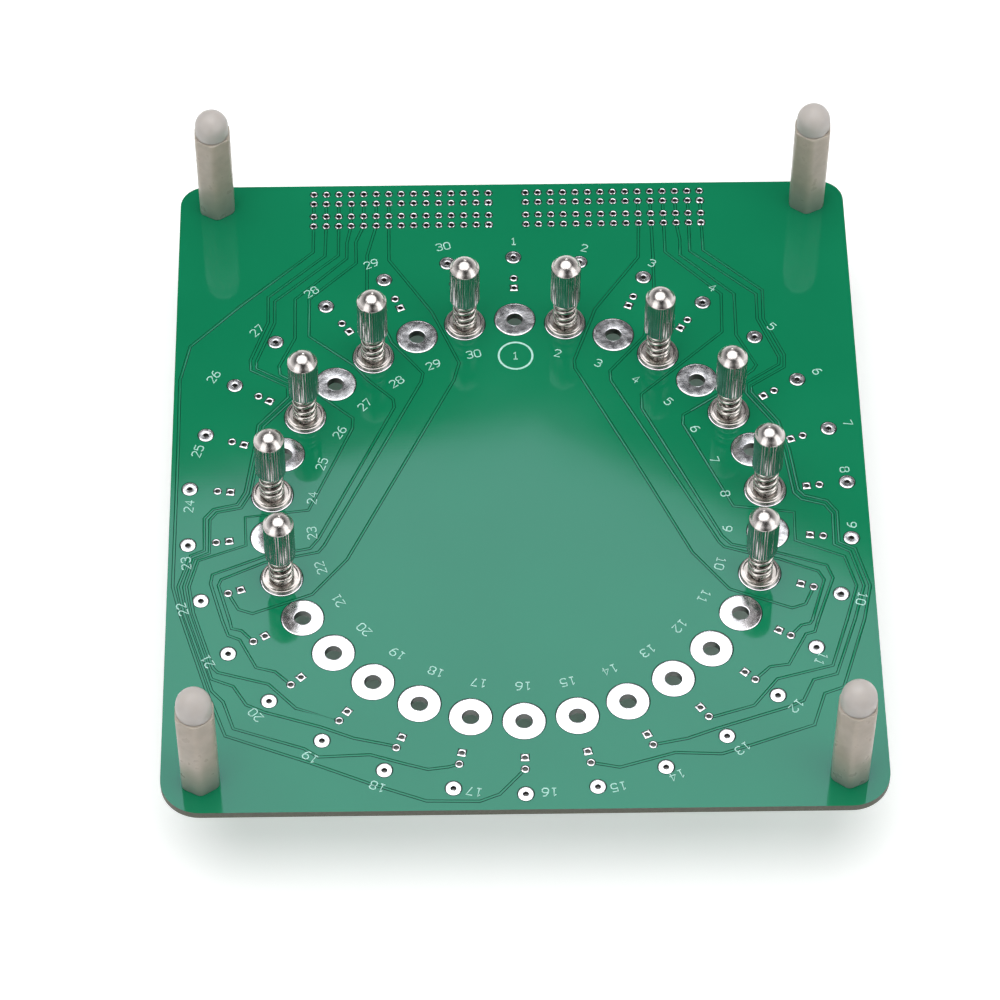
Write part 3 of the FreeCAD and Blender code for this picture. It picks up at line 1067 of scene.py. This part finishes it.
@dataclass
class SpringProbes:
    """Ten probes: barrel and nut on the board, plunger and spring in each."""

    finishes: Finishes
    board: CircuitBoard
    positions: tuple[int, ...] = (2, 4, 6, 8, 10, 22, 24, 26, 28, 30)
    flange_diameter: float = 7.8
    flange_thickness: float = 0.9
    flange_round: float = 0.30
    flange_undercut: float = 0.30
    tail_diameter: float = 3.0
    thread_pitch: float = 0.5
    thread_depth: float = 0.17
    thread_end: float = 0.5
    stem_diameter: float = 1.6
    bore_diameter: float = 2.1
    mouth_length: float = 1.4
    piston_length: float = 1.5
    running_clearance: float = 0.05
    travel: float = 3.0
    bore_spare: float = 0.55
    spring_space: float = 7.1
    head_diameter: float = 5.9
    head_length: float = 9.6
    knurl_teeth: int = 36
    knurl_depth: float = 0.075
    knurl_edge: float = 0.2
    dome_radius: float = 2.85
    dome_foot: float = 2.7
    nut_across_flats: float = 5.5
    nut_height: float = 2.4
    wire: float = 0.76
    coil_diameter: float = 4.85
    coil_turns: float = 4.75
    coil_steps_per_turn: int = 26
    coil_drawn_ends: float = 0.085
    coil_seat: float = 0.01

    def __post_init__(self) -> None:
        """Works out the levels from the board."""
        self.flange_top = self.board.top + self.flange_thickness
        self.head_bottom = self.flange_top + self.spring_space
        self.head_top = self.head_bottom + self.head_length

    def place(self, position: int) -> Matrix:
        """Placement of a probe."""
        return at(*self.board.polar(position, self.board.ring_radius))

    def places(self) -> list[Matrix]:
        """Placement of every probe."""
        return [self.place(position) for position in self.positions]

    def barrel(self) -> Object:
        """Flange with a rounded rim, blind bore, and a threaded tail down to the ground."""
        rim, tail = self.flange_diameter / 2, self.tail_diameter / 2
        mouth = self.stem_diameter / 2 + self.running_clearance
        bore = self.bore_diameter / 2
        top, foot, bottom = self.flange_top, self.board.top, self.board.bottom
        ceiling = top - self.mouth_length
        floor = ceiling - self.piston_length - self.travel - self.bore_spare
        skin, edge = top - 0.015, self.flange_round
        profile = [(0, floor), (bore, floor), (bore, ceiling), (mouth, ceiling), (mouth, top - 0.1)]
        profile += [(mouth + 0.12, top), (mouth + 0.3, top), (rim - 0.9, top), (rim - 0.74, top)]
        profile += [(rim - 0.70, skin), (rim - 0.4, skin)]
        profile += arc((rim - edge, skin - edge), edge, math.radians(90), math.radians(-22.5), steps=5)
        profile += [(rim - self.flange_undercut, foot), (tail, foot), (tail, bottom + 0.2)]
        profile += thread(tail, bottom, self.thread_end, self.thread_pitch, self.thread_depth)
        profile += [(tail - 0.35, 0), (0, 0)]
        return turned("probe_sockets", profile, segments=40)

    def barrels(self) -> None:
        """The ten barrels as one piece."""
        pattern = self.barrel()
        remember_bench_place(pattern)
        dress(pattern, [self.finishes.flange])
        smooth(pattern, angle=35)
        hand_over(laid_out(pattern, self.places(), "probe_sockets"), ["probe_barrels"])

    def nuts(self) -> None:
        """The ten hex nuts under the board as one piece."""
        low, high = self.board.bottom - self.nut_height, self.board.bottom
        pattern = chamfered_nut("probe_hex_nuts", self.nut_across_flats, self.tail_diameter, low, high)
        remember_bench_place(pattern)
        dress(pattern, [self.finishes.plated])
        smooth(pattern, angle=25)
        hand_over(laid_out(pattern, self.places(), "probe_hex_nuts"), ["probe_nuts"])

    def plunger(self) -> Object:
        """Piston and stem, and the straight-knurled head with its polished dome."""
        crest, stem = self.head_diameter / 2, self.stem_diameter / 2
        piston = self.bore_diameter / 2 - self.running_clearance
        piston_top = self.flange_top - self.mouth_length - self.running_clearance
        foot, top = self.head_bottom, self.head_top
        centre = top - math.sqrt(self.dome_radius**2 - self.dome_foot**2)
        profile = [(0, piston_top - self.piston_length), (piston, piston_top - self.piston_length)]
        profile += [(piston, piston_top), (stem, piston_top), (stem, foot)]
        profile += [(crest - 0.3, foot), (crest - 0.05, foot + 0.12), (crest, foot + 0.28)]
        profile += [(crest, top - 0.30), (crest - 0.02, top - 0.16), (crest - 0.08, top - 0.02)]
        start = math.asin((top + 0.28 - centre) / self.dome_radius)
        profile += arc((0, centre), self.dome_radius, start, math.pi / 2, steps=10)
        piece = turned("probe_head", profile, segments=self.knurl_teeth * 4)
        low, high = (foot + self.knurl_edge) * MM, (top - self.knurl_edge) * MM
        tooth = math.tau / self.knurl_teeth

        def in_groove(vertex: bmesh.types.BMVert) -> bool:
            """Whether a vertex of the knurled side lies at the bottom of a groove."""
            angle = math.atan2(vertex.co.y, vertex.co.x) % tooth
            return low < vertex.co.z < high and min(angle, tooth - angle) < tooth / 8

        with editing(piece):
            pick(piece, Pick.VERTICES, in_groove)
            shrink = 1 - self.knurl_depth / crest
            bpy.ops.transform.resize(value=(shrink, shrink, 1), center_override=(0, 0, 0))
        return piece

    def plungers(self) -> None:
        """A plunger on each probe's own body."""
        pattern = self.plunger()
        dome = (self.head_top - 0.03) * MM
        finishes = [self.finishes.knurled, self.finishes.polished]
        dress(pattern, finishes, lambda face: int(face.center.z > dome))
        smooth(pattern, angle=18)
        for position in self.positions:
            label = f"{position:02d}"
            head = copied(pattern, self.place(position), f"probe_head_{label}")
            hand_over(head, [f"probe_plunger_{label}"], f"plunger_{label}")
        bpy.data.objects.remove(pattern)

    def coil(self) -> Object:
        """Round-wire coil with its end turns drawn together."""
        radius = (self.coil_diameter - self.wire) / 2
        low = self.flange_top + self.wire / 2 + self.coil_seat
        rise = self.spring_space - self.wire - 2 * self.coil_seat
        steps = round(self.coil_turns * self.coil_steps_per_turn)
        places = []
        for step in range(steps + 1):
            share = step / steps
            angle = math.tau * self.coil_turns * share - math.pi / 2
            eased = share - self.coil_drawn_ends * math.sin(math.tau * share)
            places.append((radius * math.cos(angle), radius * math.sin(angle), low + rise * eased))
        curve = bpy.data.curves.new("probe_coil", "CURVE")
        curve.dimensions = "3D"
        curve.bevel_depth = self.wire / 2 * MM
        curve.bevel_resolution = 2
        curve.use_fill_caps = True
        draw_line(curve, places)
        return as_mesh(curve)

    def coils(self) -> None:
        """A spring on each probe."""
        pattern = self.coil()
        dress(pattern, [self.finishes.wire])
        smooth(pattern, angle=60)
        for position in self.positions:
            label = f"{position:02d}"
            coil = copied(pattern, self.place(position), f"probe_coil_{label}")
            hand_over(coil, [f"probe_spring_{label}"])
            x, y = self.board.polar(position, self.board.ring_radius)
            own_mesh(coil)
        bpy.data.objects.remove(pattern)

    def build(self) -> None:
        """Builds all the probes."""
        self.barrels()
        self.nuts()
        self.plungers()
        self.coils()


def chamfered_nut(name: str, across_flats: float, bore: float, bottom: float, top: float) -> Object:
    """Hex nut with both faces turned off at its corners, and a bore for a thread of this diameter."""
    face, corner = across_flats / 2 * 0.97, across_flats / math.sqrt(3) + 0.05
    drop = (corner - face) * math.tan(math.radians(30))
    profile = [(0, bottom), (face, bottom), (corner, bottom + drop)]
    profile += [(corner, top - drop), (face, top), (0, top)]
    blank = turned(name + "_blank", profile, segments=60)
    piece = hexagonal(name, across_flats, bottom - OVERCUT / 2, top + OVERCUT / 2)
    carve(piece, blank, "INTERSECT")
    carve(piece, rod(name + "_bore", bore + 0.02, bottom - OVERCUT, top + OVERCUT, segments=40))
    return piece


# Corner standoffs

class Corner(Enum):
    """Corner of the board, by the end of its nodes' names."""

    FRONT_LEFT = "front_left"
    FRONT_RIGHT = "front_right"
    BACK_LEFT = "back_left"
    BACK_RIGHT = "back_right"


# Turn of each standoff in degrees, as it happened to be tightened
STANDOFF_TURNS: dict[Corner, float] = {
    Corner.FRONT_LEFT: 32.0,
    Corner.FRONT_RIGHT: 24.0,
    Corner.BACK_LEFT: 32.0,
    Corner.BACK_RIGHT: 26.0,
}


@dataclass
class Standoffs:
    """Four nylon standoffs with a nut under the board and a domed cap on top."""

    finishes: Finishes
    board: CircuitBoard
    across_flats: float = 7.0
    height: float = 22.5
    edge_round: float = 0.75
    bore: float = 4.0
    bore_depth: float = 12.0
    stud: float = 4.0
    thread_pitch: float = 0.7
    thread_depth: float = 0.2
    nut_height: float = 3.0
    stud_past_nut: float = 0.8
    cap_diameter: float = 6.6
    cap_side: float = 2.1
    cap_stem: float = 6.0

    def __post_init__(self) -> None:
        """Works out the top of a standoff."""
        self.top = self.board.top + self.height

    def bar(self) -> Object:
        """Hexagonal bar with softened edges, its bore, and a threaded stud below."""
        bar = hexagonal("standoff_bar", self.across_flats, self.board.top, self.top)
        with editing(bar):
            pick(bar, Pick.EDGES, lambda edge: abs(edge.verts[0].co.z - edge.verts[1].co.z) > MM)
            bpy.ops.mesh.bevel(offset=self.edge_round * MM, segments=3)
            pick(bar, Pick.EDGES, lambda edge: abs(edge.verts[0].co.z - edge.verts[1].co.z) < 0.1 * MM)
            bpy.ops.mesh.bevel(offset=0.15 * MM, segments=2)
        floor = self.top - self.bore_depth
        carve(bar, rod("standoff_bore", self.bore, floor, self.top + OVERCUT, segments=40))
        stud, head, start = self.stud / 2, self.board.top + 0.4, self.board.bottom
        end = start - self.nut_height - self.stud_past_nut
        profile = [(0, head), (stud, head), (stud, start)]
        profile += thread(stud, start, end, self.thread_pitch, self.thread_depth)
        profile += [(stud - 0.25, end), (0, end)]
        return joined([bar, turned("standoff_stud", profile, segments=32)], "standoff_bar")

    def cap(self) -> Object:
        """Domed cap with a stem in the bore and a fine lip where it meets the standoff."""
        radius, stem = self.cap_diameter / 2, self.stud / 2 - 0.05
        foot, top = self.top - self.cap_stem, self.top
        profile = [(0, foot), (stem - 0.2, foot), (stem, foot + 0.2), (stem, top)]
        profile += [(radius - 0.12, top), (radius, top + 0.12)]
        profile += arc((0, top + self.cap_side), radius, 0, math.pi / 2, steps=12)
        return turned("cap_dome", profile, segments=56)

    def build(self) -> None:
        """Builds the standoffs, their caps and their nuts."""
        bar, cap = self.bar(), self.cap()
        for pattern, finish in ((bar, self.finishes.nylon), (cap, self.finishes.cap)):
            dress(pattern, [finish])
            smooth(pattern, angle=35)
        for corner in Corner:
            name = corner.value
            low, high = (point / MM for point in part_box(f"standoff_cap_{name}"))
            x, y = (low.x + high.x) / 2, (low.y + high.y) / 2
            post = copied(bar, at(x, y, turn=STANDOFF_TURNS[corner]), f"standoff_bar_{name}")
            hand_over(post, [f"standoff_{name}"])
            dome = copied(cap, at(x, y), f"cap_dome_{name}")
            hand_over(dome, [f"standoff_cap_{name}"])
        for pattern in (bar, cap):
            bpy.data.objects.remove(pattern)
        low, high = self.board.bottom - self.nut_height, self.board.bottom
        nut = chamfered_nut("standoff_hex_nuts", self.across_flats, self.stud, low, high)
        dress(nut, [self.finishes.nylon_nut])
        smooth(nut, angle=25)
        places = [at(x, y) for x, y in self.board.stud_places]
        hand_over(laid_out(nut, places, "standoff_hex_nuts"), ["standoff_nuts"])


# Studio

@dataclass(frozen=True)
class Card:
    """Rectangular side light that faces the middle of the board.

    Fields:
        name: Name of the lamp.
        place: Its middle, in metres.
        size: Its width and height, in metres.
        radiance: How bright it looks, where 1 is white.
    """

    name: str
    place: Place
    size: Point
    radiance: float


@dataclass
class Studio:
    """Pale floor, soft light from above and both sides, and the camera. Its lengths are in metres.

    Fields:
        floor_glow: Glow that turns the lit floor white.
        dark_y: Where along Y the middle of the disc under the board lies, where that glow is left out as
            painted shade.
        dark_radii: Radii between which the glow comes back, the soft edge of that painted shade.
        box_front: How far the softbox overhead reaches to the front.
        box_turn: Turn of its eight sides in degrees.
        room_glow: Brightness of the room low down.
        ceiling_glow: Brightness of the room from the ceiling's height up.
        ceiling_height: Upward share of the direction in which the ceiling starts.
        front_turn: Turn in radians of the dim stretch before the photographer.
        front_edge: Squares of the sideways share of a direction between which it goes bright.
        front_glow: Share of the room's brightness that is left there.
        back_edge: Share of a direction to the back between which the room goes bright.
        mirrored_gain: How much brighter the room is in mirrors than in its light.
    """

    floor_size: float = 8.0
    floor_colour: Colour = (0.86, 0.86, 0.86)
    floor_glow: float = 0.42
    dark_y: float = 0.007
    dark_radii: tuple[float, float] = (0.052, 0.068)
    box_centre: Place = (-0.09, 0.014, 0.92)
    box_radius: float = 0.70
    box_turn: float = -9.5
    box_front: float = -0.50
    box_strength: float = 2.35
    cards: tuple[Card, ...] = (
        Card("left_card", (-0.62, -0.66, 0.38), (0.65, 0.75), 1.3),
        Card("right_card", (0.82, -0.38, 0.42), (0.60, 0.80), 1.55),
        Card("back_card", (0.05, 1.00, 0.70), (0.16, 0.16), 5.0),
    )
    room_glow: float = 0.45
    ceiling_glow: float = 0.035
    ceiling_height: float = 0.6
    front_turn: float = math.radians(7)
    front_edge: tuple[float, float] = (0.02, 0.09)
    front_glow: float = 0.1
    back_edge: tuple[float, float] = (-0.1, 0.0)
    mirrored_gain: float = 2.0
    lens: float = 155.3
    sensor: float = 36.0
    shift: float = 0.0177
    eye: Place = (-0.0140, -0.5006, 0.6928)
    target: Place = (-0.0071, -0.0047, 0.0216)

    def floor(self) -> None:
        """Large pale floor that keeps the shadow and glows white, except in a disc under the board that is
        left without glow as painted shade.
        """
        deselect_all()
        bpy.ops.mesh.primitive_plane_add(size=self.floor_size)
        floor = bpy.context.object
        floor.name = "studio_floor"
        material = bpy.data.materials.new("studio_floor")
        recipe = Recipe(material)
        recipe.set(base_color=(*self.floor_colour, 1.0), roughness=0.9, specular_ior_level=0.1)
        rays = recipe.add("ShaderNodeLightPath", {}).outputs
        seen = recipe.arithmetic("MAXIMUM", rays["Is Camera Ray"], rays["Is Glossy Ray"])
        seen = recipe.arithmetic("MAXIMUM", seen, rays["Is Transmission Ray"])
        # The glow is left out in a disc under the board: painted shade
        from_middle = recipe.add("ShaderNodeVectorMath", {}, operation="DISTANCE")
        recipe.feed(from_middle.inputs[0], recipe.place())
        recipe.feed(from_middle.inputs[1], (0, self.dark_y, 0))
        out = recipe.ranged(from_middle.outputs["Value"], *self.dark_radii, 0.0, 1.0)
        glow = recipe.arithmetic("MULTIPLY", out, self.floor_glow)
        recipe.set(emission_color=(1, 1, 1, 1), emission_strength=recipe.arithmetic("MULTIPLY", seen, glow))
        floor.data.materials.append(material)

    def softbox(self) -> None:
        """Eight-sided softbox overhead, whose edge shows in the glossy board."""
        deselect_all()
        bpy.ops.mesh.primitive_circle_add(
            vertices=8, radius=self.box_radius, fill_type="NGON", location=self.box_centre
        )
        box = bpy.context.object
        box.name = "studio_softbox"
        box.rotation_euler = (0, 0, math.radians(self.box_turn))
        bpy.ops.object.transform_apply(location=True, rotation=True, scale=True)
        with editing(box):
            bpy.ops.mesh.select_all(action="SELECT")
            bpy.ops.mesh.bisect(plane_co=(0, self.box_front, 0), plane_no=(0, -1, 0), clear_outer=True)
        material = bpy.data.materials.new("studio_softbox")
        recipe = Recipe(material)
        recipe.set(
            base_color=(0, 0, 0, 1),
            specular_ior_level=0.0,
            emission_color=(1, 1, 1, 1),
            emission_strength=self.box_strength,
        )
        box.data.materials.append(material)

    def aim(self, holder: Object, place: Place) -> None:
        """Puts a lamp or the camera in its place, turned to the middle of the board."""
        holder.location = place
        towards = Vector(self.target) - Vector(place)
        holder.rotation_euler = towards.to_track_quat("-Z", "Y").to_euler()
        bpy.context.collection.objects.link(holder)

    def hang(self, card: Card) -> None:
        """Hangs a side light."""
        lamp = bpy.data.lights.new(card.name, "AREA")
        lamp.shape = "RECTANGLE"
        lamp.size, lamp.size_y = card.size
        lamp.energy = card.radiance * math.pi * card.size[0] * card.size[1]
        self.aim(bpy.data.objects.new(card.name, lamp), card.place)

    def world(self) -> None:
        """Pale room low down, dim above and where the photographer stands, white for the camera."""
        world = bpy.data.worlds.new("studio")
        bpy.context.scene.world = world
        recipe = Recipe(world)
        outlook = recipe.add("ShaderNodeTexCoord", {}).outputs["Generated"]
        split = recipe.add("ShaderNodeSeparateXYZ", {"Vector": outlook}).outputs
        aside = recipe.add("ShaderNodeVectorMath", {}, operation="DOT_PRODUCT")
        recipe.feed(aside.inputs[0], outlook)
        recipe.feed(aside.inputs[1], (math.cos(self.front_turn), math.sin(self.front_turn), 0))
        sideways = recipe.arithmetic("MULTIPLY", aside.outputs["Value"], aside.outputs["Value"])
        at_side = recipe.ranged(sideways, *self.front_edge, self.front_glow, 1.0)
        at_back = recipe.ranged(split["Y"], *self.back_edge, 0.0, 1.0)
        beside = recipe.arithmetic("MAXIMUM", at_side, at_back)
        rays = recipe.add("ShaderNodeLightPath", {}).outputs
        mirrored = recipe.arithmetic("MAXIMUM", rays["Is Glossy Ray"], rays["Is Transmission Ray"])
        room = recipe.ranged(split["Z"], 0.0, self.ceiling_height, self.room_glow, self.ceiling_glow)
        room = recipe.arithmetic("MULTIPLY", room, beside)
        gain = recipe.ranged(mirrored, 0.0, 1.0, 1.0, self.mirrored_gain)
        room = recipe.arithmetic("MULTIPLY", room, gain)
        recipe.set(color=(1, 1, 1, 1), strength=recipe.arithmetic("MAXIMUM", room, rays["Is Camera Ray"]))

    def camera(self) -> None:
        """Camera at the photograph's viewing angle."""
        data = bpy.data.cameras.new("camera")
        data.lens = self.lens
        data.sensor_width = self.sensor
        data.shift_x = self.shift
        holder = bpy.data.objects.new("camera", data)
        self.aim(holder, self.eye)
        bpy.context.scene.camera = holder

    def build(self) -> None:
        """Sets up the whole studio."""
        self.floor()
        self.softbox()
        for card in self.cards:
            self.hang(card)
        self.world()
        self.camera()
        bpy.context.scene.view_settings.view_transform = "Standard"


# Main

def main() -> None:
    """Builds the fixture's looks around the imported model."""
    finishes = Finishes()
    board = CircuitBoard(finishes)
    board.build()
    SpringProbes(finishes, board).build()
    Standoffs(finishes, board).build()
    Studio().build()


if __name__ == "__main__":
    main()
